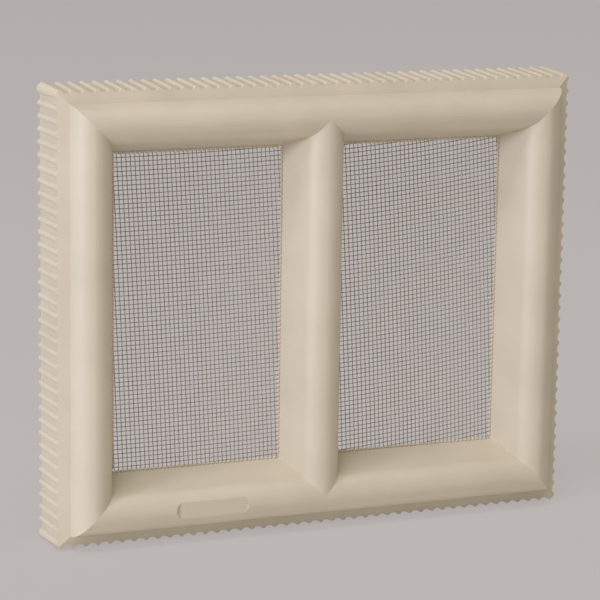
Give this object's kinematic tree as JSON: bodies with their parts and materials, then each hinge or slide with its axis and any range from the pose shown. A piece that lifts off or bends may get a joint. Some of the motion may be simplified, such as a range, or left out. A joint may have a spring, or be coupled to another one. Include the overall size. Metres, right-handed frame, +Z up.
{
  "type": "ventilation grille",
  "caption": "Rectangular wall ventilation grille: rounded moulding and middle bar round recessed fly screens, with ribbed sides that key into the wall.",
  "frame": {"origin": "under the middle of the grille, on the level of the lowest ribs, halfway through its depth", "axes": "+X along the width, +Y into the wall, +Z up"},
  "size_m": [0.2426, 0.0337, 0.2],
  "materials": {
    "moulding": "satin",
    "wire": "dull"
  },
  "bodies": {
    "root": {"frame": "moulding", "left_screen": "wire", "right_screen": "wire"}
  },
  "joints": []
}
